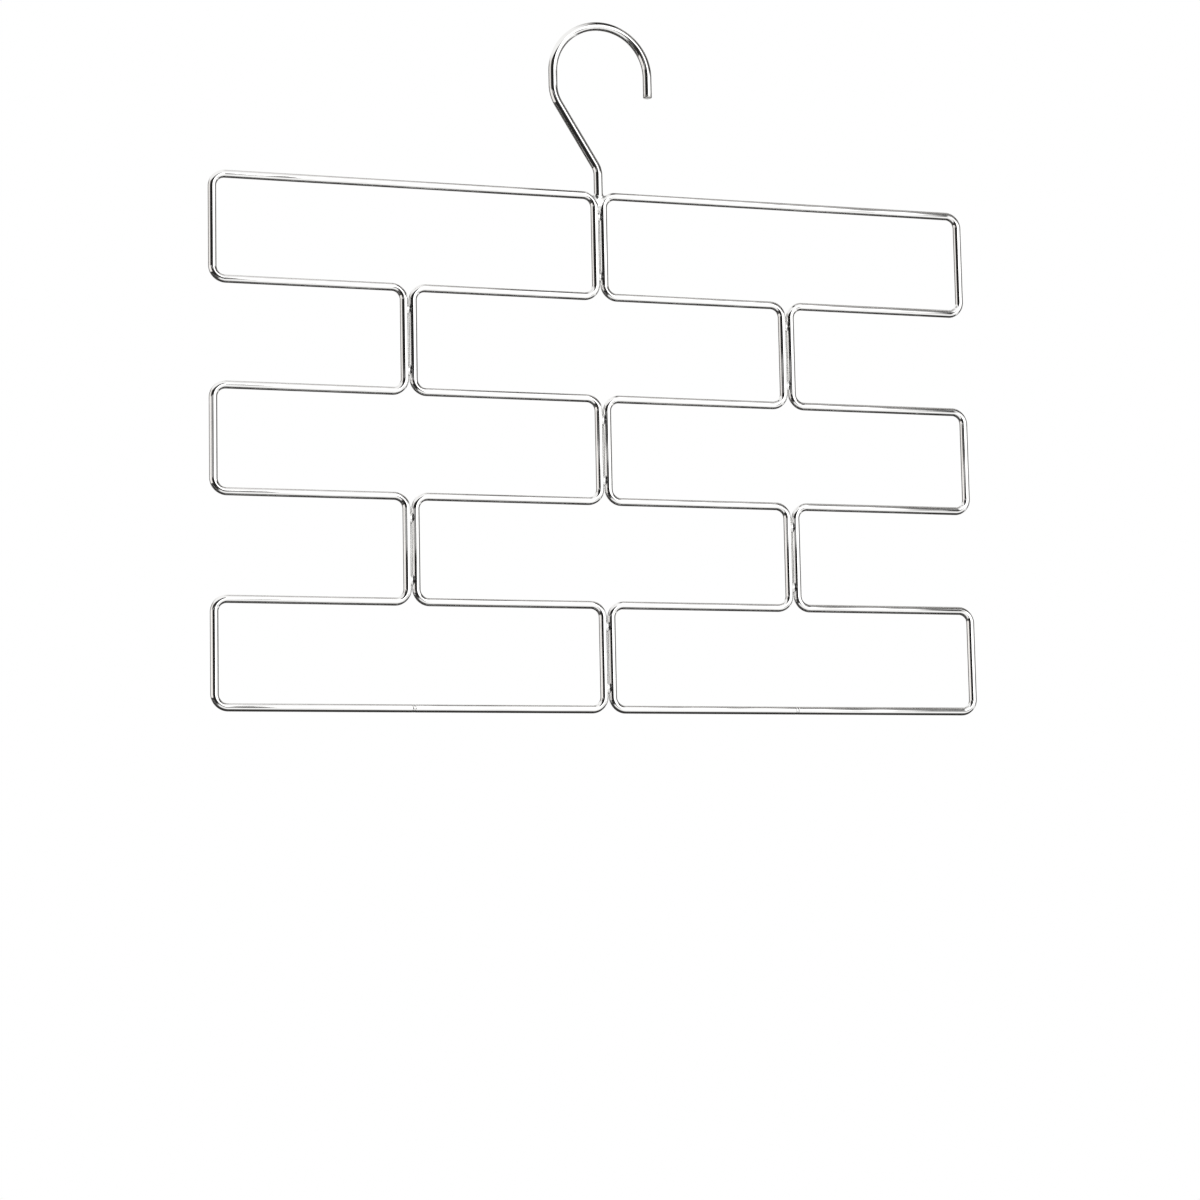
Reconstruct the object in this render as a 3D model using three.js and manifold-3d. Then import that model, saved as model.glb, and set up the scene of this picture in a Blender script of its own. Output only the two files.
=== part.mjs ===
// A flat wire hanger for leggings.
//
// Two closed wire loops stand side by side in one plane. Each loop is one bent wire that
// outlines a column of cells, and between the cells it is pinched to a neck of two wires.
// Spot welds hold the wires together wherever two of them run side by side, and a hook of
// slightly thicker wire is welded into the notch between the loops' top bends.
//
// Millimetres, +X to the viewer's right, +Y away from the viewer, +Z up.
// The origin is the saddle: the inside of the hook's bow at its top, where a rod bears.

import * as THREE from 'three';
import { mergeVertices } from 'three/addons/utils/BufferGeometryUtils.js';
import Module from 'manifold-3d';

const wasm = await Module();
wasm.setup();

// Driving dimensions of the loops
const WIRE_DIAMETER = 4.0;
const ROWS = 5; // counted from the top: odd rows are cells, even rows are necks
const ROW_PITCH = 50.8; // from one rail's centreline to the next
const LOOP_WIDTH = 190.0; // between the centrelines of a cell's two sides
const BEND_INNER_RADIUS = 4.2;
const PAIR_GAP = 0.3; // between two wires that run side by side

// Driving dimensions of the hook, with heights above the top rail's centreline
const HOOK_WIRE_DIAMETER = 4.4;
const BOW_INNER_RADIUS = 22.3;
const BOW_OFFSET = 2.2; // of the bow's middle from the stem, towards the tip
const SADDLE_HEIGHT = 84.0;
const STEM_HEIGHT = 13.2; // where the stem starts to lean back
const STEM_BEND_RADIUS = 10.0; // at the centreline
const BACK_DROP = 11.9; // from the bow's middle down to where the lean ends
const BACK_BEND_RADIUS = 18.0; // at the centreline
const TIP_DROP = 10.4; // from the bow's middle down to the cut end
const STEM_GAP = 0.3; // between the stem's end and the bends that it stands on

// Driving dimensions of the welds
const WELD_SEAT = 0.05; // clearance between a weld and the wires that it joins
const WELD_RECESS = 0.25; // of a weld's face behind the front of the wires
const PAIR_WELD_LENGTH = 6.4;
const PAIR_WELD_WIDTH = 3.0;
const PAIR_WELD_INSET = 1.0; // from the end of the bend to the weld
const HOOK_WELD_RISE = 2.3; // how far it climbs the stem
const HOOK_WELD_SPREAD = 1.3; // how far it spreads beside the stem
const CLOSING_WELD_LENGTH = 1.2; // between the two cut ends of a loop's wire

// Fineness of the faceted surfaces
const WIRE_SIDES = 12;
const CHORD_ERROR = 0.06; // largest distance of a bend's straight steps from its true arc
const BEAD_SEGMENTS = 12;
const BEAD_RINGS = 8;
const SAME_POINT = 1e-3;

// Sizes that follow from the driving dimensions
const wireRadius = WIRE_DIAMETER / 2;
const hookRadius = HOOK_WIRE_DIAMETER / 2;
const bendRadius = BEND_INNER_RADIUS + wireRadius;
const pairOffset = (WIRE_DIAMETER + PAIR_GAP) / 2; // of a wire from its pair's middle
const loopOffset = LOOP_WIDTH / 2 + pairOffset; // of a loop's middle from the hanger's
const closingGap = CLOSING_WELD_LENGTH + 2 * WELD_SEAT;
const weldHalfDepth = wireRadius - WELD_RECESS;

// The centreline of a bent wire: straight runs with a round bend at each inner corner.
// Its parameter steps from station to station, with no station along a straight run.
class WirePath extends THREE.Curve {
  constructor(corners, bendRadii) {
    super();
    this.points = [];
    this.tangents = [];
    const runs = corners.slice(1).map((corner, i) => corner.clone().sub(corners[i]).normalize());
    this.addStation(corners[0], runs[0]);
    bendRadii.forEach((radius, i) => this.addBend(corners[i + 1], runs[i], runs[i + 1], radius));
    this.addStation(corners.at(-1), runs.at(-1));
  }

  get steps() {
    return this.points.length - 1;
  }

  addStation(point, tangent) {
    if (this.points.length && this.points.at(-1).distanceTo(point) < SAME_POINT) return;
    this.points.push(point);
    this.tangents.push(tangent);
  }

  addBend(corner, before, after, radius) {
    const angle = before.angleTo(after);
    const axis = before.clone().cross(after).normalize();
    const start = corner.clone().addScaledVector(before, -radius * Math.tan(angle / 2));
    const centre = start.clone().addScaledVector(axis.clone().cross(before), radius);
    const steps = Math.ceil(angle / (2 * Math.acos(1 - CHORD_ERROR / radius)));
    for (let step = 0; step <= steps; step++) {
      const turn = (angle * step) / steps;
      const spoke = start.clone().sub(centre).applyAxisAngle(axis, turn);
      this.addStation(spoke.add(centre), before.clone().applyAxisAngle(axis, turn));
    }
  }

  between(stations, t, target = new THREE.Vector3()) {
    const place = t * this.steps;
    const first = Math.min(Math.floor(place), this.steps - 1);
    return target.lerpVectors(stations[first], stations[first + 1], place - first);
  }

  getPoint(t, target) {
    return this.between(this.points, t, target);
  }

  getTangent(t, target) {
    return this.between(this.tangents, t, target).normalize();
  }

  // Equal steps run from station to station, not along equal lengths of wire.
  getUtoTmapping(u) {
    return u;
  }
}

function wire(path, radius) {
  const section = new THREE.Shape().absarc(0, 0, radius, 0, 2 * Math.PI);
  return new THREE.ExtrudeGeometry(section, {
    extrudePath: path,
    steps: path.steps,
    curveSegments: WIRE_SIDES / 2, // an arc takes two points for each
  });
}

// A point of the hanger's own plane.
function at(x, z) {
  return new THREE.Vector3(x, 0, z);
}

// A loop's wire starts and ends at its closing weld, in the middle of the bottom rail.
function loopPath() {
  const side = [];
  for (let row = ROWS; row >= 1; row--) {
    const x = isCell(row) ? LOOP_WIDTH / 2 : pairOffset;
    side.push(at(x, -row * ROW_PITCH), at(x, (1 - row) * ROW_PITCH));
  }
  const otherSide = side.map(({ x, z }) => at(-x, z)).reverse();
  const bends = [...side, ...otherSide];
  const start = at(closingGap / 2, -ROWS * ROW_PITCH);
  const end = at(-closingGap / 2, -ROWS * ROW_PITCH);
  return new WirePath([start, ...bends, end], bends.map(() => bendRadius));
}

function isCell(row) {
  return row % 2 === 1;
}

// The height at which the rim of the stem's flat end meets the two top bends.
function stemEnd() {
  const reach = bendRadius + wireRadius + STEM_GAP;
  const side = pairOffset + bendRadius - hookRadius;
  return Math.sqrt(reach ** 2 - side ** 2) - bendRadius;
}

// The bow is two quarter bends, between the back of the hook and its tip.
function hookPath() {
  const bowRadius = BOW_INNER_RADIUS + hookRadius;
  const bowMiddle = SADDLE_HEIGHT - BOW_INNER_RADIUS;
  const back = BOW_OFFSET - bowRadius;
  const front = BOW_OFFSET + bowRadius;
  const top = bowMiddle + bowRadius;
  const corners = [
    at(0, stemEnd()),
    at(0, STEM_HEIGHT),
    at(back, bowMiddle - BACK_DROP),
    at(back, top),
    at(front, top),
    at(front, bowMiddle - TIP_DROP),
  ];
  return new WirePath(corners, [STEM_BEND_RADIUS, BACK_BEND_RADIUS, bowRadius, bowRadius]);
}

function solidOf(geometry) {
  const bare = geometry.clone();
  bare.deleteAttribute('normal');
  bare.deleteAttribute('uv');
  const merged = mergeVertices(bare, SAME_POINT);
  return new wasm.Manifold(
    new wasm.Mesh({
      numProp: 3,
      vertProperties: merged.attributes.position.array,
      triVerts: new Uint32Array(merged.index.array),
    }),
  );
}

function geometryOf(solid) {
  const { vertProperties, triVerts } = solid.getMesh();
  const geometry = new THREE.BufferGeometry();
  geometry.setAttribute('position', new THREE.BufferAttribute(vertProperties, 3));
  geometry.setIndex(new THREE.BufferAttribute(triVerts, 1));
  geometry.computeVertexNormals();
  return geometry;
}

// A bead of weld metal, cut to fit round the wires that it joins.
function weld(halfWidth, halfHeight, height, wires) {
  const bead = new THREE.SphereGeometry(1, BEAD_SEGMENTS, BEAD_RINGS)
    .rotateX(Math.PI / 2)
    .scale(halfWidth, weldHalfDepth, halfHeight)
    .translate(0, 0, height);
  return geometryOf(wires.reduce((rest, cut) => rest.subtract(solidOf(cut)), solidOf(bead)));
}

function pairWeld() {
  const upright = new WirePath([at(0, -PAIR_WELD_LENGTH), at(0, PAIR_WELD_LENGTH)], []);
  const seats = [-pairOffset, pairOffset].map((x) =>
    wire(upright, wireRadius + WELD_SEAT).translate(x, 0, 0),
  );
  return weld(PAIR_WELD_WIDTH / 2, PAIR_WELD_LENGTH / 2, 0, seats);
}

function hookWeld() {
  const top = stemEnd() + HOOK_WELD_RISE;
  const bottom = -bendRadius;
  const seats = [-loopOffset, loopOffset].map((x) =>
    wire(loopPath(), wireRadius + WELD_SEAT).translate(x, 0, 0),
  );
  seats.push(wire(hookPath(), hookRadius + WELD_SEAT));
  return weld(hookRadius + HOOK_WELD_SPREAD, (top - bottom) / 2, (top + bottom) / 2, seats);
}

function closingWeld() {
  const half = CLOSING_WELD_LENGTH / 2;
  return wire(new WirePath([at(-half, 0), at(half, 0)], []), wireRadius);
}

function plated(color, roughness) {
  return new THREE.MeshStandardMaterial({ color, roughness, metalness: 1 });
}

const part = new THREE.Group();
const hanger = new THREE.Group();
hanger.position.set(-BOW_OFFSET, 0, -SADDLE_HEIGHT);
part.add(hanger);

function add(name, geometry, material, x = 0, z = 0) {
  const mesh = new THREE.Mesh(geometry, material);
  mesh.name = name;
  mesh.position.set(x, 0, z);
  hanger.add(mesh);
}

const frameFinish = () => plated(0xdcdee0, 0.08);
const hookFinish = () => plated(0xd6d8db, 0.1);
const weldFinish = () => plated(0xc9cbce, 0.25);

const sides = [
  ['left', -loopOffset],
  ['right', loopOffset],
];

add('hook', wire(hookPath(), hookRadius), hookFinish());
add('hook_weld', hookWeld(), weldFinish());
for (const [side, x] of sides) {
  add(`${side}_loop`, wire(loopPath(), wireRadius), frameFinish(), x);
  add(`${side}_closing_weld`, closingWeld(), weldFinish(), x, -ROWS * ROW_PITCH);
}

// Each pair of uprights has a weld near its upper and its lower bend.
const weldReach = ROW_PITCH / 2 - bendRadius - PAIR_WELD_INSET - PAIR_WELD_LENGTH / 2;
for (let row = 1; row <= ROWS; row++) {
  const middle = (0.5 - row) * ROW_PITCH;
  const pairs = isCell(row) ? [['centre', 0]] : sides.map(([side, x]) => [`${side}_neck`, x]);
  for (const [place, x] of pairs) {
    add(`${place}_weld_${row}_upper`, pairWeld(), weldFinish(), x, middle + weldReach);
    add(`${place}_weld_${row}_lower`, pairWeld(), weldFinish(), x, middle - weldReach);
  }
}

export default part;
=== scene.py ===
"""Legging hanger of chrome-plated wire: the looks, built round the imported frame, in metres."""
import math
from collections import namedtuple

import bmesh
import bpy
import numpy as np
from mathutils import Matrix, Vector, noise


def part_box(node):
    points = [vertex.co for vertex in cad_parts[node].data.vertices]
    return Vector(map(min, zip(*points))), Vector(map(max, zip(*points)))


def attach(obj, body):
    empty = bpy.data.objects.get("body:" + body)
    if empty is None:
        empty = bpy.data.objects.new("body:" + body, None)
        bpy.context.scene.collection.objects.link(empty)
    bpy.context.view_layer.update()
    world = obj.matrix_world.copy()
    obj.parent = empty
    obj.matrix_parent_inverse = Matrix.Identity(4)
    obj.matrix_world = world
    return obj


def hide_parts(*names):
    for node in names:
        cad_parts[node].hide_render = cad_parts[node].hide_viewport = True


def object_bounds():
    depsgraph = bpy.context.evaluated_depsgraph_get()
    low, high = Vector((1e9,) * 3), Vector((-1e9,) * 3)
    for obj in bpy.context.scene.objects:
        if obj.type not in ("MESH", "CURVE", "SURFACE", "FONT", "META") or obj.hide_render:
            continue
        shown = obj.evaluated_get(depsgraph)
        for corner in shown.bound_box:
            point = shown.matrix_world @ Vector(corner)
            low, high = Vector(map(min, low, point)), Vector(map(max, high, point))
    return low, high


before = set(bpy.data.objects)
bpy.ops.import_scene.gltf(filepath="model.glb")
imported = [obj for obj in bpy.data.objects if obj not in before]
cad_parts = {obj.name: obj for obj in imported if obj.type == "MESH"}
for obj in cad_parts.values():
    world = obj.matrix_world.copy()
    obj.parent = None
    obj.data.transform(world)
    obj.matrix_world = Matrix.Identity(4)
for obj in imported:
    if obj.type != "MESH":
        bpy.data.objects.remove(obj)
cad_low, cad_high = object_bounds()

MM = 0.001

# The frame wire. Its gauge, rails and uprights are read from the frame below.
ROWS = 5
BEND_RADIUS = 6.2 * MM            # at the wire's centreline
CLOSING_GAP = 1.2 * MM            # that the butt weld of each loop fills
BEND_SQUEEZE = 0.035              # how much a tight bend flattens the wire in its own plane

# The hook. Heights are above the centreline of the top rails, drops are below the middle of the bow.
STEM_HEIGHT = 13.2 * MM
STEM_BEND_RADIUS = 10.0 * MM
BACK_DROP = 11.9 * MM
BACK_BEND_RADIUS = 18.0 * MM
TIP_DROP = 10.4 * MM
TIP_ROUNDING = 0.5 * MM           # of the tip's cut end
FOOT_ROUNDING = 0.1 * MM          # of the stem's cut end, in its weld
SEAM_ROUNDING = 0.3 * MM          # of the two cut ends of a loop's wire

# The welds.
WELD_SINK = 0.03 * MM             # how far a bead's skin lies inside the wires that it joins
WELD_RIPPLE = 0.02 * MM           # unevenness of a bead
RIPPLE_SIZE = 2.2 * MM            # how wide its swellings are
RIPPLE_SHIFT = (3.7, 1.3, 7.1)    # between the patterns of two beads
TINY = 1e-9                       # stands for no reach, where a fillet has faded out

# The spot welds between two wires that run side by side.
PAIR_FILL = 2.3 * MM              # reach of the fillet at its middle
PAIR_LENGTH = 0.995               # how much of the fillet's length is used
TOE_SINK = 0.10 * MM              # how far the edge of a weld dips into the wires
TOE_START, TOE_WIDTH = 0.69, 0.3  # where that dip starts, and its width, in half widths of the weld
TOE_THICKNESS = 0.01 * MM         # least half thickness of a weld

# The weld in the notch between the loops' top bends. Fades are distances from its middle.
HOOK_FILL, HOOK_FILL_FADE = 6.0 * MM, 8.0 * MM      # reach of the fillet between the bends
STEM_FILL, STEM_FILL_FADE = 2.6 * MM, 9.0 * MM      # reach of the fillet round the foot of the stem
SWELL, SWELL_FADE = 0.12 * MM, 4.5 * MM             # how far it stands proud of the wires
NOTCH_DROP = 1.5 * MM                               # of its middle below the foot of the stem
HOOK_WELD_REACH = (4.6 * MM, 2.1 * MM, 5.6 * MM)    # at most, from the middle of its node
HOOK_WELD_SEED = 40
STEM_END = 0.5                                      # middle of the stem's round end above its foot, in radii

# The butt welds that close the loops.
SEAM_CROWN = 0.03 * MM            # how far a dressed weld stays below the wire at its middle
SEAM_FALL = 0.06 * MM             # how much lower it is at its ends
SEAM_REACH = 0.6                  # half its length, in closing gaps

# How finely the meshes are made.
WIRE_SIDES = 40
BEND_STEP, BEND_STEPS_LEAST = 0.45 * MM, 8
RUN_STEP = 9.0 * MM
RUN_GUARD = 0.6 * MM              # short first step of a straight run, which keeps its shading straight
END_STEPS = 8
SEAM_STEPS = 4
BEAD_LEVEL = 6
CUSHION_ROWS, CUSHION_COLUMNS = 49, 25
BISECTIONS = 26

# The finishes: two colours of the haze, and the roughness where the metal is clean and where it is worn.
Finish = namedtuple("Finish", "dark light smooth dull")
FRAME_FINISH = Finish((0.87, 0.865, 0.855), (0.93, 0.925, 0.915), 0.03, 0.10)
HOOK_FINISH = Finish((0.855, 0.85, 0.84), (0.92, 0.915, 0.905), 0.035, 0.12)
WELD_FINISH = Finish((0.76, 0.755, 0.745), (0.85, 0.845, 0.835), 0.10, 0.24)
WAVER_DEPTH = 1.4 * MM            # of the slow waver that bending leaves in a wire
DRAW_DEPTH = 0.02 * MM            # of the draw lines along it
PEEL_DEPTH = 0.01 * MM            # of the plating's fine unevenness
GRAIN_DEPTH = 0.05 * MM           # of the pits in a weld
RUB_INNER, RUB_OUTER = 2.0 * MM, 10.0 * MM    # from the saddle, where its scratches start to fade and end
# The colour of the saddle's scratches, which is also painted on the cut tip as painted shade.
RUB_AND_TIP_SHADE_COLOUR, RUB_ROUGHNESS = (0.66, 0.65, 0.63), 0.36
CUT_AND_SHADE_FADE = 1.35                   # where the dull cut tip and its painted shade end, in radii of the hook's wire

# The photograph's camera, fitted to its wires: it stands to the left and below, and looks up.
CAMERA_PLACE = (-0.4479, -1.3878, -0.4580)
CAMERA_YAW, CAMERA_PITCH, CAMERA_ROLL = 17.677, 6.783, -1.166
CAMERA_LENS = 90.733
CAMERA_SENSOR = 36.0
CAMERA_REACH = 100.0

# The studio.
FLOOR_HEIGHT = -0.95
FLOOR_RADIUS = 4.0
FLOOR_SIDES = 96
FLOOR_FADE = (0.35, 0.95)         # where the floor starts to fade out and ends, in its radii
FLOOR_DARK, FLOOR_LIGHT = (0.90,) * 3, (0.93,) * 3
WORLD_LIGHT = 0.95
SOFT_EDGE = 0.20                  # over which most cards' edges fade out
CARD_TINT = (1.03, 1.0, 0.975)
UP, DOWN = (0.0, 0.0, 1.0), (0.0, 0.0, -1.0)

# The cards that the metal reflects. A place is measured from the hanger's middle.
Card = namedtuple("Card", "name place facing width height shade soft", defaults=(SOFT_EDGE,))
CARDS = (
    # The dark line of the uprights, and the grey one to the left of it.
    Card("dark_left_upper", (-1.08, -1.69, 0.97), (1.08, 1.69, 0.0), 3.53, 1.5, 0.02),
    Card("dark_left_lower", (-0.91, -1.78, -0.91), (0.91, 1.78, 0.0), 2.9, 2.6, 0.02),
    Card("grey_left_upper", (-1.97, 0.35, 0.95), (1.97, -0.35, 0.0), 2.2, 1.5, 0.9),
    Card("grey_left_lower", (-1.99, -0.17, -0.9), (1.99, 0.17, 0.0), 2.2, 2.6, 0.98),
    # The dark lower line of the rails, and the dark band of the slanted stem.
    Card("dark_floor", (-0.5, 0.5, -0.58), UP, 3.6, 1.75, 0.04),
    Card("dark_floor_left", (-1.35, -0.75, -0.575), UP, 1.9, 1.1, 0.03, 0.15),
    # The thin lines along the edges of every wire.
    Card("back_left", (-0.84, 1.24, 0.2), (0.84, -1.24, 0.0), 1.7, 1.6, 0.15),
    Card("back_right", (1.36, 0.63, 0.35), (-1.36, -0.63, 0.0), 2.3, 1.9, 0.12),
    # The grey upper line of the rails, and the dark one along the top of the bow.
    Card("grey_above", (0.8, 0.3, 1.2), DOWN, 1.9, 1.7, 0.34, 0.4),
    Card("dark_above", (0.046, -0.035, 0.273), DOWN, 0.08, 0.2, 0.03, 0.02),
    # The darker right ends of the rails, and the outer lines of the right bends.
    Card("dark_right", (0.88, -1.33, 0.35), (-0.88, 1.33, 0.0), 0.42, 1.8, 0.05, 0.16),
    Card("dark_right_upper", (1.07, -0.485, 1.0), (-0.94, 0.52, -0.81), 1.2, 1.08, 0.05, 0.12),
)

# A place on a wire's centreline, and one ring of its skin with its two half widths.
Station = namedtuple("Station", "point tangent squeeze")
Ring = namedtuple("Ring", "point tangent across through")

# Sizes and places that the frame gives.
left_low, left_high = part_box("left_loop")
right_low, right_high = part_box("right_loop")
hook_low, hook_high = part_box("hook")
wire_radius = (left_high.y - left_low.y) / 2
hook_radius = (hook_high.y - hook_low.y) / 2
top_rail = left_high.z - wire_radius
row_pitch = (left_high.z - left_low.z - 2 * wire_radius) / ROWS
bottom_rail = top_rail - ROWS * row_pitch
loop_half = (left_high.x - left_low.x) / 2 - wire_radius
pair_half = (right_low.x - left_high.x) / 2 + wire_radius
middle = (left_high.x + right_low.x) / 2
hanger_middle = (cad_low + cad_high) / 2


# Wires.

def run_stations(start, end):
    """Stations inside a straight run, without its two ends."""
    length = (end - start).length
    if length < 3 * RUN_GUARD:
        return []
    along = (end - start).normalized()
    inner = length - 2 * RUN_GUARD
    steps = max(1, round(inner / RUN_STEP))
    reach = [RUN_GUARD + inner * i / steps for i in range(steps + 1)]
    return [Station(start + along * r, along, 0.0) for r in reach]


def bend_stations(corner, before, after, radius):
    """Stations round a bend, from the end of one straight run to the start of the next."""
    angle = before.angle(after)
    axis = before.cross(after).normalized()
    start = corner - before * (radius * math.tan(angle / 2))
    centre = start + axis.cross(before) * radius
    steps = max(BEND_STEPS_LEAST, math.ceil(radius * angle / BEND_STEP))
    stations = []
    for i in range(steps + 1):
        turn = Matrix.Rotation(angle * i / steps, 3, axis)
        squeeze = BEND_SQUEEZE * BEND_RADIUS / radius * math.sin(math.pi * i / steps)
        stations.append(Station(centre + turn @ (start - centre), turn @ before, squeeze))
    return stations


def wire_stations(corners, radii):
    """Stations along a wire bent round its inner corners."""
    runs = [(b - a).normalized() for a, b in zip(corners, corners[1:])]
    stations = [Station(corners[0], runs[0], 0.0)]
    for corner, before, after, radius in zip(corners[1:], runs, runs[1:], radii):
        bend = bend_stations(corner, before, after, radius)
        if (bend[0].point - stations[-1].point).length < RUN_GUARD:
            bend = bend[1:]
        stations += run_stations(stations[-1].point, bend[0].point) + bend
    stations += run_stations(stations[-1].point, corners[-1])
    return stations + [Station(corners[-1], runs[-1], 0.0)]


def rounded_end(station, radius, rounding, inward):
    """Rings from the flat face of a cut end to the wire's full size, along inward."""
    rings = []
    for i in range(END_STEPS + 1):
        a = i / END_STEPS * math.pi / 2
        size = radius - rounding * (1 - math.sin(a))
        place = station.point + inward * (rounding * (1 - math.cos(a)))
        rings.append(Ring(place, station.tangent, size, size))
    return rings


def wire_rings(stations, radius, first_rounding, last_rounding):
    """Rings of a wire whose two ends are rounded."""
    first, last = stations[0], stations[-1]
    start = rounded_end(first, radius, first_rounding, first.tangent)
    finish = rounded_end(last, radius, last_rounding, -last.tangent)
    body = [
        Ring(s.point, s.tangent, radius * (1 - s.squeeze), radius) for s in stations[1:-1]
    ]
    return start + body + finish[::-1]


def ring_points(ring):
    """Corners of one ring. Every wire lies in the XZ plane, so one of its axes is Y."""
    across = Vector((ring.tangent.z, 0.0, -ring.tangent.x)) * ring.across
    through = Vector((0.0, ring.through, 0.0))
    turns = [2 * math.pi * i / WIRE_SIDES for i in range(WIRE_SIDES)]
    return [ring.point + across * math.cos(t) + through * math.sin(t) for t in turns]


def new_piece(name, mesh_data, material):
    """Turns a bmesh into a smooth object of the scene."""
    mesh = bpy.data.meshes.new(name)
    bmesh.ops.recalc_face_normals(mesh_data, faces=mesh_data.faces)
    for face in mesh_data.faces:
        face.smooth = True
    mesh_data.to_mesh(mesh)
    mesh_data.free()
    mesh.materials.append(material)
    piece = bpy.data.objects.new(name, mesh)
    bpy.context.collection.objects.link(piece)
    return piece


def sweep(name, rings, material):
    """A wire skinned over its rings, with UVs in metres along it and turns round it."""
    mesh_data = bmesh.new()
    uv = mesh_data.loops.layers.uv.new("wire")
    loops = [[mesh_data.verts.new(p) for p in ring_points(r)] for r in rings]
    along = 0.0
    for here, there, a, b in zip(loops, loops[1:], rings, rings[1:]):
        step = (b.point - a.point).length
        for i in range(WIRE_SIDES):
            j = (i + 1) % WIRE_SIDES
            face = mesh_data.faces.new((here[i], here[j], there[j], there[i]))
            turns = (i, i + 1, i + 1, i)
            places = (along, along, along + step, along + step)
            for corner, turn, place in zip(face.loops, turns, places):
                corner[uv].uv = (place, turn / WIRE_SIDES)
        along += step
    mesh_data.faces.new(loops[0])
    mesh_data.faces.new(loops[-1])
    return new_piece(name, mesh_data, material)


def loop_corners(axis):
    """Corners of a loop's centreline. It starts and ends at the butt weld in its bottom rail."""
    right = []
    for row in range(ROWS, 0, -1):
        half = loop_half if row % 2 else pair_half
        right += [(half, top_rail - row * row_pitch), (half, top_rail - (row - 1) * row_pitch)]
    left = [(-x, z) for x, z in reversed(right)]
    start, end = (CLOSING_GAP / 2, bottom_rail), (-CLOSING_GAP / 2, bottom_rail)
    return [Vector((axis + x, 0.0, z)) for x, z in [start, *right, *left, end]]


def loop_wire(name, axis, material):
    """One loop of the frame: a bent wire whose two ends meet in its bottom rail."""
    corners = loop_corners(axis)
    stations = wire_stations(corners, [BEND_RADIUS] * (len(corners) - 2))
    return sweep(name, wire_rings(stations, wire_radius, SEAM_ROUNDING, SEAM_ROUNDING), material)


def hook_corners():
    """Corners of the hook's centreline, from the foot of the stem to the tip."""
    back, front = hook_low.x + hook_radius, hook_high.x - hook_radius
    top = hook_high.z - hook_radius
    bow_middle = top - (front - back) / 2
    places = (
        (middle, hook_low.z),
        (middle, top_rail + STEM_HEIGHT),
        (back, bow_middle - BACK_DROP),
        (back, top),
        (front, top),
        (front, bow_middle - TIP_DROP),
    )
    return [Vector((x, 0.0, z)) for x, z in places]


def hook_wire(name, material):
    """The hook: a stem, a slanted back and a round bow, bent from one wire."""
    bow_radius = (hook_high.x - hook_low.x) / 2 - hook_radius
    radii = [STEM_BEND_RADIUS, BACK_BEND_RADIUS, bow_radius, bow_radius]
    stations = wire_stations(hook_corners(), radii)
    return sweep(name, wire_rings(stations, hook_radius, FOOT_ROUNDING, TIP_ROUNDING), material)


# Welds.

def smooth_union(a, b, reach):
    """Distance to two shapes that a fillet of that reach joins."""
    meet = np.maximum(reach - np.abs(a - b), 0.0) / np.maximum(reach, TINY)
    return np.minimum(a, b) - meet * meet * reach / 4


def fading(points, centre, length):
    """1 at centre, falling smoothly to 0 at that length from it."""
    far = np.linalg.norm(points - centre, axis=1) / length
    return np.maximum(1 - far * far, 0.0) ** 2


def top_bend_distance(points, side):
    """Distance to a loop's wire where its top rail turns down at the middle; side is -1 or 1."""
    out = side * (points[:, 0] - middle) - pair_half
    down = top_rail - points[:, 2]
    bend = np.hypot(out - BEND_RADIUS, down - BEND_RADIUS) - BEND_RADIUS
    turning = (out < BEND_RADIUS) & (down < BEND_RADIUS)
    planar = np.where(turning, bend, np.where(down < BEND_RADIUS, down, out))
    return np.hypot(planar, points[:, 1]) - wire_radius


def stem_distance(points):
    """Distance to the stem, with a round end below its cut foot."""
    below = np.maximum(hook_low.z + STEM_END * hook_radius - points[:, 2], 0.0)
    aside = np.hypot(points[:, 0] - middle, points[:, 1])
    return np.hypot(aside, below) - hook_radius


def ripple(points, seed):
    """Slow unevenness of a bead, different for each one."""
    shift = Vector([part * seed for part in RIPPLE_SHIFT])
    places = (Vector(p) / RIPPLE_SIZE + shift for p in points)
    return WELD_RIPPLE * np.array([noise.noise(p) for p in places])


def bead(name, centre, half_size, distance, seed, material):
    """A bead that fills out from its centre to where distance turns positive, or to half_size."""
    mesh_data = bmesh.new()
    bmesh.ops.create_icosphere(mesh_data, subdivisions=BEAD_LEVEL, radius=1.0)
    rays = np.array([v.co for v in mesh_data.verts]) * np.array(half_size)
    uneven = ripple(centre + rays, seed)
    inside, outside = np.zeros(len(rays)), np.ones(len(rays))
    for _ in range(BISECTIONS):
        reach = (inside + outside) / 2
        filled = distance(centre + rays * reach[:, None]) + uneven + WELD_SINK < 0
        inside, outside = np.where(filled, reach, inside), np.where(filled, outside, reach)
    for vert, place in zip(mesh_data.verts, centre + rays * inside[:, None]):
        vert.co = place
    return new_piece(name, mesh_data, material)


def cushion(name, front, back, material):
    """A closed mesh between two grids of points with the same rows and columns."""
    mesh_data = bmesh.new()
    rims = []
    for points in (front, back):
        grid = [[mesh_data.verts.new(p) for p in row] for row in points]
        for here, there in zip(grid, grid[1:]):
            for i in range(len(here) - 1):
                mesh_data.faces.new((here[i], here[i + 1], there[i + 1], there[i]))
        right = [row[-1] for row in grid[1:-1]]
        left = [row[0] for row in grid[-2:0:-1]]
        rims.append(grid[0] + right + grid[-1][::-1] + left)
    for i in range(len(rims[0])):
        mesh_data.faces.new((rims[0][i - 1], rims[0][i], rims[1][i], rims[1][i - 1]))
    return new_piece(name, mesh_data, material)


def node_box(node):
    """A node's middle and its half sizes."""
    low, high = (np.array(corner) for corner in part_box(node))
    return (low + high) / 2, (high - low) / 2


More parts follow.
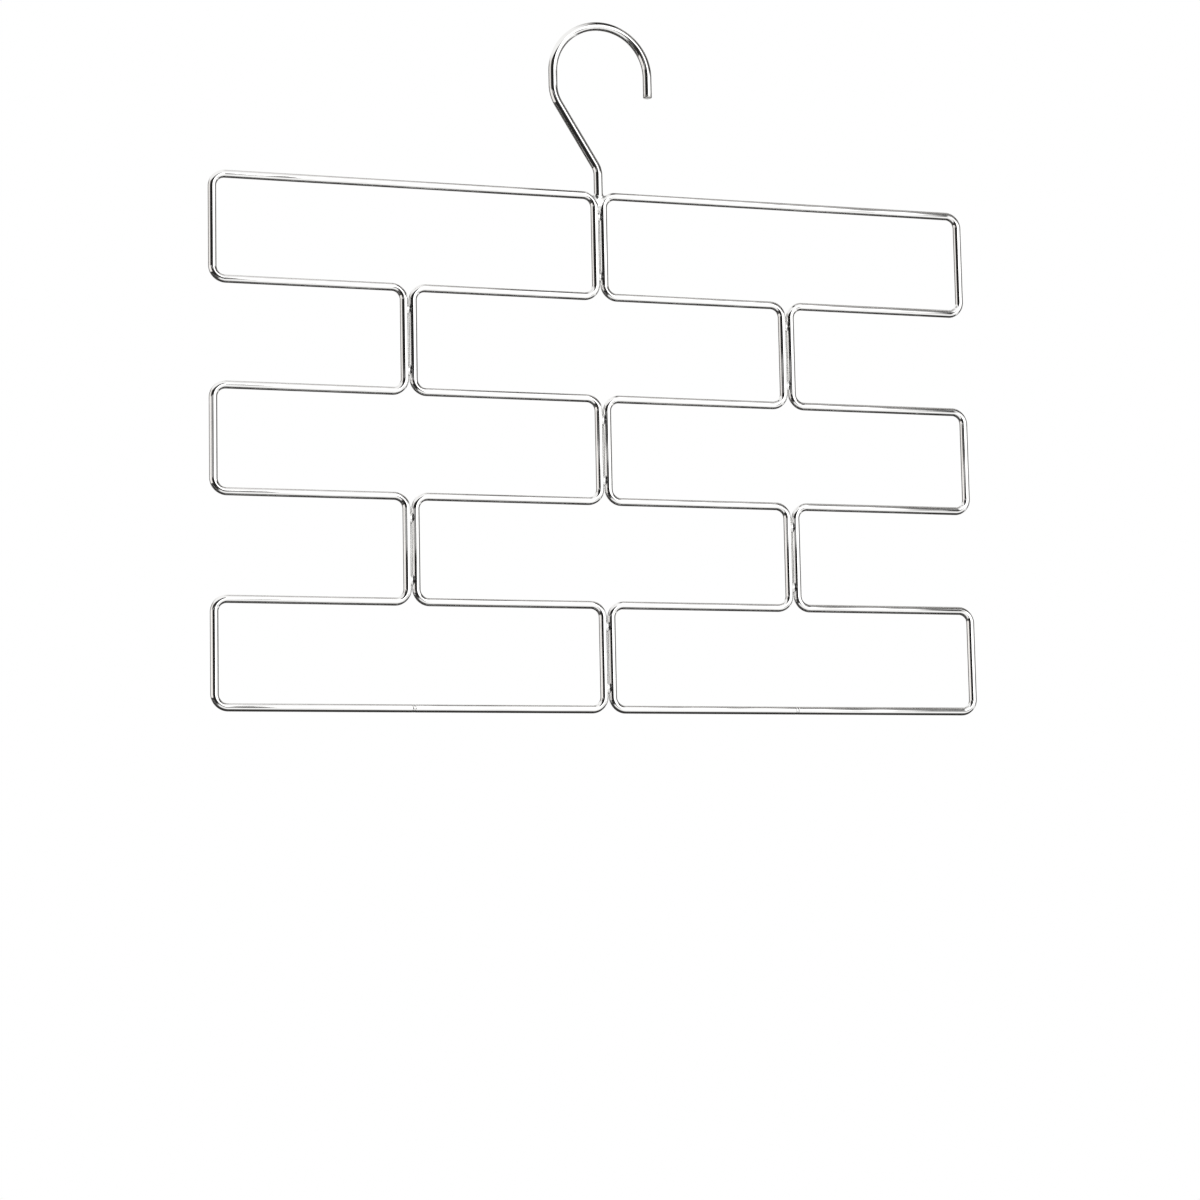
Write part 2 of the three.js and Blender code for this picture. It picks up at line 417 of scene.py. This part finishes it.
def pair_weld(node, seed, material):
    """The spot weld between two wires that run side by side, on both faces of the frame."""
    centre, half = node_box(node)
    # The height, in half lengths of the node, up to which the fillet spans the gap.
    closed = math.sqrt(1 - 4 * (pair_half - wire_radius) / PAIR_FILL)
    turns = np.linspace(-1, 1, CUSHION_ROWS)[:, None] * math.pi / 2
    height = PAIR_LENGTH * closed * np.sin(turns)
    share = np.linspace(-1, 1, CUSHION_COLUMNS)[None, :]
    fill = PAIR_FILL * (1 - height**2)
    aside = share * fill * (2 * wire_radius + fill) / (4 * pair_half)

    def is_open(out):
        left = np.hypot(aside + pair_half, out) - wire_radius
        right = np.hypot(aside - pair_half, out) - wire_radius
        return smooth_union(left, right, fill) > 0

    inside, outside = np.zeros(aside.shape), np.full(aside.shape, wire_radius)
    for _ in range(BISECTIONS):
        out = (inside + outside) / 2
        free = is_open(out)
        inside, outside = np.where(free, inside, out), np.where(free, out, outside)
    toe = np.clip((np.abs(share) - TOE_START) / TOE_WIDTH, 0, None)
    out = np.maximum(inside - TOE_SINK * toe**2, TOE_THICKNESS)
    along = np.broadcast_to(half[2] * height, out.shape)
    faces = []
    for side in (-1, 1):
        points = np.stack([aside, side * out, along], -1) + centre
        points[..., 1] += ripple(points.reshape(-1, 3), seed).reshape(out.shape)
        faces.append(points)
    return cushion(node + "_bead", *faces, material)


def hook_weld(node, material):
    """The weld that holds the foot of the stem in the notch between the loops' top bends."""
    centre, _ = node_box(node)
    notch = np.array((middle, 0.0, hook_low.z - NOTCH_DROP))

    def distance(points):
        left, right = top_bend_distance(points, -1), top_bend_distance(points, 1)
        loops = smooth_union(left, right, HOOK_FILL * fading(points, notch, HOOK_FILL_FADE))
        reach = STEM_FILL * fading(points, notch, STEM_FILL_FADE)
        swell = SWELL * fading(points, notch, SWELL_FADE)
        return smooth_union(loops, stem_distance(points), reach) - swell

    return bead(node + "_bead", centre, HOOK_WELD_REACH, distance, HOOK_WELD_SEED, material)


def closing_weld(node, material):
    """The butt weld that closes a loop, dressed flush: a short barrel a hair below the wire."""
    centre, _ = node_box(node)
    along = Vector((1.0, 0.0, 0.0))
    rings = []
    for i in range(-SEAM_STEPS, SEAM_STEPS + 1):
        share = i / SEAM_STEPS
        size = wire_radius - SEAM_CROWN - SEAM_FALL * share**2
        place = Vector((centre[0] + share * SEAM_REACH * CLOSING_GAP, 0.0, bottom_rail))
        rings.append(Ring(place, along, size, size))
    return sweep(node + "_bead", rings, material)


# Materials.

def set_inputs(node, values):
    """Sets inputs of a node by name, with _ for a space."""
    for name, value in values.items():
        node.inputs[name.replace("_", " ")].default_value = value


def new_material(name, **values):
    """A new material, its tree, and its shader with some of its inputs set."""
    material = bpy.data.materials.new(name)
    material.use_nodes = True
    shader = material.node_tree.nodes["Principled BSDF"]
    set_inputs(shader, values)
    return material, material.node_tree, shader


def add(tree, kind, **values):
    """A new node with some of its inputs set."""
    node = tree.nodes.new(kind)
    set_inputs(node, values)
    return node


def object_place(tree):
    """The place on the object, in metres."""
    return tree.nodes.new("ShaderNodeTexCoord").outputs["Object"]


def noise_of(tree, vector, detail, scale=1.0, stretch=(1.0, 1.0, 1.0)):
    """Noise over a vector that is first stretched."""
    mapping = add(tree, "ShaderNodeMapping", Scale=stretch)
    tree.links.new(vector, mapping.inputs["Vector"])
    made = add(tree, "ShaderNodeTexNoise", Scale=scale, Detail=detail, Roughness=0.55)
    tree.links.new(mapping.outputs["Vector"], made.inputs["Vector"])
    return made.outputs["Fac"]


def ranged(tree, value, low, high, to_low=0.0, to_high=1.0):
    """value mapped from one range to another, and held inside it."""
    node = add(tree, "ShaderNodeMapRange", From_Min=low, From_Max=high, To_Min=to_low, To_Max=to_high)
    tree.links.new(value, node.inputs["Value"])
    return node.outputs["Result"]


def mixed(tree, factor, dark, light):
    """A colour between two, by factor. Each is a colour or another node's output."""
    node = tree.nodes.new("ShaderNodeMix")
    node.data_type = "RGBA"
    tree.links.new(factor, node.inputs["Factor"])
    for name, colour in (("A", dark), ("B", light)):
        if isinstance(colour, tuple):
            node.inputs[name].default_value = (*colour, 1.0)
        else:
            tree.links.new(colour, node.inputs[name])
    return node.outputs["Result"]


def combined(tree, operation, a, b):
    """One number worked out from two others."""
    node = tree.nodes.new("ShaderNodeMath")
    node.operation = operation
    tree.links.new(a, node.inputs[0])
    tree.links.new(b, node.inputs[1])
    return node.outputs["Value"]


def patch(tree, place, centre, inner, outer):
    """1 up to the inner distance from a point, falling to 0 at the outer one."""
    far = tree.nodes.new("ShaderNodeVectorMath")
    far.operation = "DISTANCE"
    far.inputs[1].default_value = centre
    tree.links.new(place, far.inputs[0])
    return ranged(tree, far.outputs["Value"], inner, outer, 1.0, 0.0)


def bumped(tree, height, distance, strength, before=None):
    """A normal bent by height, on top of another one."""
    node = add(tree, "ShaderNodeBump", Strength=strength, Distance=distance)
    tree.links.new(height, node.inputs["Height"])
    if before is not None:
        tree.links.new(before, node.inputs["Normal"])
    return node.outputs["Normal"]


def wire_chrome(name, finish):
    """Bright chrome on bent, drawn wire: a slow waver, draw lines, hairlines, haze and handling marks."""
    material, tree, shader = new_material(name, Metallic=1.0)
    uv = tree.nodes.new("ShaderNodeUVMap")
    uv.uv_map = "wire"
    along = uv.outputs["UV"]
    place = object_place(tree)
    haze = noise_of(tree, place, detail=4.0, scale=45.0)
    marks = noise_of(tree, place, detail=5.0, scale=260.0)
    lines = noise_of(tree, along, detail=3.0, stretch=(14.0, 46.0, 1.0))
    hairs = noise_of(tree, along, detail=2.0, stretch=(2600.0, 5.0, 1.0))
    peel = noise_of(tree, place, detail=2.0, scale=700.0)
    waver = noise_of(tree, place, detail=1.0, scale=20.0)
    colour = mixed(tree, ranged(tree, haze, 0.35, 0.65), finish.dark, finish.light)
    patchy = ranged(tree, haze, 0.4, 0.7, 0.2, 1.0)
    touched = combined(tree, "MULTIPLY", patchy, ranged(tree, marks, 0.45, 0.75))
    scratched = combined(tree, "MULTIPLY", patchy, ranged(tree, hairs, 0.66, 0.72))
    dulling = combined(tree, "MAXIMUM", touched, scratched)
    roughness = ranged(tree, dulling, 0.0, 1.0, finish.smooth, finish.dull)
    bent = bumped(tree, waver, WAVER_DEPTH, 1.0)
    drawn = bumped(tree, lines, DRAW_DEPTH, 0.4, bent)
    tree.links.new(colour, shader.inputs["Base Color"])
    tree.links.new(roughness, shader.inputs["Roughness"])
    tree.links.new(bumped(tree, peel, PEEL_DEPTH, 0.25, drawn), shader.inputs["Normal"])
    return material


def rub_hook_and_shade_tip(material, saddle, tip):
    """Wear and painted shade of the hook: fine scratches where a rod bears on its saddle, and a dull cut tip
    whose darker colour is painted shade.
    """
    tree = material.node_tree
    shader = tree.nodes["Principled BSDF"]
    colour = shader.inputs["Base Color"].links[0].from_socket
    roughness = shader.inputs["Roughness"].links[0].from_socket
    place = object_place(tree)
    across = noise_of(tree, place, detail=4.0, stretch=(5200.0, 260.0, 1700.0))
    near = patch(tree, place, saddle, RUB_INNER, RUB_OUTER)
    rubbed = combined(tree, "MULTIPLY", near, ranged(tree, across, 0.42, 0.66))
    # The cut tip: rougher, and darker in colour as painted shade.
    cut_and_shade = patch(tree, place, tip, hook_radius, CUT_AND_SHADE_FADE * hook_radius)
    # The real scratches and the tip's painted shade together.
    dulling = combined(tree, "MAXIMUM", rubbed, cut_and_shade)
    dull = ranged(tree, dulling, 0.0, 1.0, 0.0, RUB_ROUGHNESS)
    tree.links.new(mixed(tree, dulling, colour, RUB_AND_TIP_SHADE_COLOUR), shader.inputs["Base Color"])
    tree.links.new(combined(tree, "MAXIMUM", roughness, dull), shader.inputs["Roughness"])


def weld_chrome(name, finish):
    """Chrome over dressed weld metal: duller, with a fine pitted grain."""
    material, tree, shader = new_material(name, Metallic=1.0)
    place = object_place(tree)
    grain = noise_of(tree, place, detail=4.0, scale=1500.0)
    cloud = noise_of(tree, place, detail=3.0, scale=500.0)
    colour = mixed(tree, ranged(tree, cloud, 0.35, 0.65), finish.dark, finish.light)
    roughness = ranged(tree, cloud, 0.3, 0.7, finish.smooth, finish.dull)
    tree.links.new(colour, shader.inputs["Base Color"])
    tree.links.new(roughness, shader.inputs["Roughness"])
    tree.links.new(bumped(tree, grain, GRAIN_DEPTH, 0.25), shader.inputs["Normal"])
    return material


# Studio.

def card_material(card):
    """One shade of warm grey that fades out towards the card's edges."""
    colour = (*(card.shade * tint for tint in CARD_TINT), 1.0)
    material, tree, shader = new_material(
        card.name, Base_Color=colour, Roughness=1.0, Specular_IOR_Level=0.0
    )
    axes = tree.nodes.new("ShaderNodeSeparateXYZ")
    tree.links.new(object_place(tree), axes.inputs[0])
    fades = []
    for axis, half in (("X", card.width / 2), ("Y", card.height / 2)):
        far = tree.nodes.new("ShaderNodeMath")
        far.operation = "ABSOLUTE"
        tree.links.new(axes.outputs[axis], far.inputs[0])
        fades.append(ranged(tree, far.outputs[0], half - card.soft, half, 1.0, 0.0))
    tree.links.new(combined(tree, "MULTIPLY", *fades), shader.inputs["Alpha"])
    return material


def studio_card(card):
    """A card that only the metal sees."""
    mesh_data = bmesh.new()
    across, up = card.width / 2, card.height / 2
    corners = ((-across, -up), (across, -up), (across, up), (-across, up))
    mesh_data.faces.new([mesh_data.verts.new((x, y, 0.0)) for x, y in corners])
    piece = new_piece(card.name, mesh_data, card_material(card))
    piece.rotation_mode = "QUATERNION"
    piece.rotation_quaternion = Vector(card.facing).to_track_quat("Z", "Y")
    piece.location = hanger_middle + Vector(card.place)
    piece.visible_camera = piece.visible_diffuse = piece.visible_shadow = False


def softbox(name, azimuth, elevation, distance, width, height, power):
    """A large soft lamp that faces the hanger."""
    a, e = math.radians(azimuth), math.radians(elevation)
    out = Vector((math.sin(a) * math.cos(e), -math.cos(a) * math.cos(e), math.sin(e)))
    lamp = bpy.data.lights.new(name, "AREA")
    lamp.shape = "RECTANGLE"
    lamp.size, lamp.size_y, lamp.energy = width, height, power
    rig = bpy.data.objects.new(name, lamp)
    rig.rotation_mode = "QUATERNION"
    rig.rotation_quaternion = (-out).to_track_quat("-Z", "Y")
    rig.location = hanger_middle + out * distance
    bpy.context.collection.objects.link(rig)


def studio_floor():
    """A pale round floor whose rim fades into the white background."""
    mesh_data = bmesh.new()
    bmesh.ops.create_circle(mesh_data, cap_ends=True, segments=FLOOR_SIDES, radius=FLOOR_RADIUS)
    material, tree, shader = new_material("floor", Roughness=0.9, Specular_IOR_Level=0.0)
    place = object_place(tree)
    cloud = noise_of(tree, place, detail=3.0, scale=2.0)
    start, end = (share * FLOOR_RADIUS for share in FLOOR_FADE)
    rim = patch(tree, place, (0.0, 0.0, 0.0), start, end)
    tree.links.new(mixed(tree, cloud, FLOOR_DARK, FLOOR_LIGHT), shader.inputs["Base Color"])
    tree.links.new(rim, shader.inputs["Alpha"])
    floor = new_piece("floor", mesh_data, material)
    floor.location.z = FLOOR_HEIGHT


def studio_world():
    """White for the camera and in the metal, a little less as light."""
    world = bpy.data.worlds.new("studio")
    world.use_nodes = True
    tree = world.node_tree
    background = tree.nodes["Background"]
    background.inputs["Color"].default_value = (1.0, 1.0, 1.0, 1.0)
    rays = tree.nodes.new("ShaderNodeLightPath").outputs
    seen = combined(tree, "MAXIMUM", rays["Is Camera Ray"], rays["Is Glossy Ray"])
    seen = combined(tree, "MAXIMUM", seen, rays["Is Transmission Ray"])
    strength = ranged(tree, seen, 0.0, 1.0, WORLD_LIGHT, 1.0)
    tree.links.new(strength, background.inputs["Strength"])
    bpy.context.scene.world = world


def photo_camera():
    """The camera at the photograph's place and angle."""
    camera = bpy.data.cameras.new("camera")
    camera.lens, camera.sensor_width = CAMERA_LENS, CAMERA_SENSOR
    camera.clip_end = CAMERA_REACH
    rig = bpy.data.objects.new("camera", camera)
    yaw = Matrix.Rotation(math.radians(-CAMERA_YAW), 4, "Z")
    pitch = Matrix.Rotation(math.radians(90 + CAMERA_PITCH), 4, "X")
    roll = Matrix.Rotation(math.radians(CAMERA_ROLL), 4, "Z")
    rig.matrix_world = Matrix.Translation(CAMERA_PLACE) @ yaw @ pitch @ roll
    bpy.context.collection.objects.link(rig)
    bpy.context.scene.camera = rig


# Assembly.

def stand_in(piece, node):
    """The piece takes the CAD node's place: it rides on the root body, and the node is hidden."""
    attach(piece, "root")
    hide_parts(node)


def pair_nodes():
    """Nodes of the spot welds between wires that run side by side."""
    return sorted(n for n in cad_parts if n.endswith(("_upper", "_lower")))


frame_chrome = wire_chrome("frame_chrome", FRAME_FINISH)
hook_chrome = wire_chrome("hook_chrome", HOOK_FINISH)
# Scratches at the saddle, and painted shade at the cut tip.
rub_hook_and_shade_tip(hook_chrome, saddle=(0.0, 0.0, 0.0), tip=hook_corners()[-1])
bead_chrome = weld_chrome("weld_chrome", WELD_FINISH)

left_axis, right_axis = (left_low.x + left_high.x) / 2, (right_low.x + right_high.x) / 2
stand_in(loop_wire("left_loop_wire", left_axis, frame_chrome), "left_loop")
stand_in(loop_wire("right_loop_wire", right_axis, frame_chrome), "right_loop")
stand_in(hook_wire("hook_wire", hook_chrome), "hook")
stand_in(hook_weld("hook_weld", bead_chrome), "hook_weld")
for node in ("left_closing_weld", "right_closing_weld"):
    stand_in(closing_weld(node, bead_chrome), node)
for seed, node in enumerate(pair_nodes()):
    stand_in(pair_weld(node, seed, bead_chrome), node)

studio_floor()
studio_world()
for card in CARDS:
    studio_card(card)
softbox("key", azimuth=30.0, elevation=12.0, distance=1.8, width=1.6, height=1.4, power=8.0)
photo_camera()
bpy.context.scene.view_settings.view_transform = "Standard"
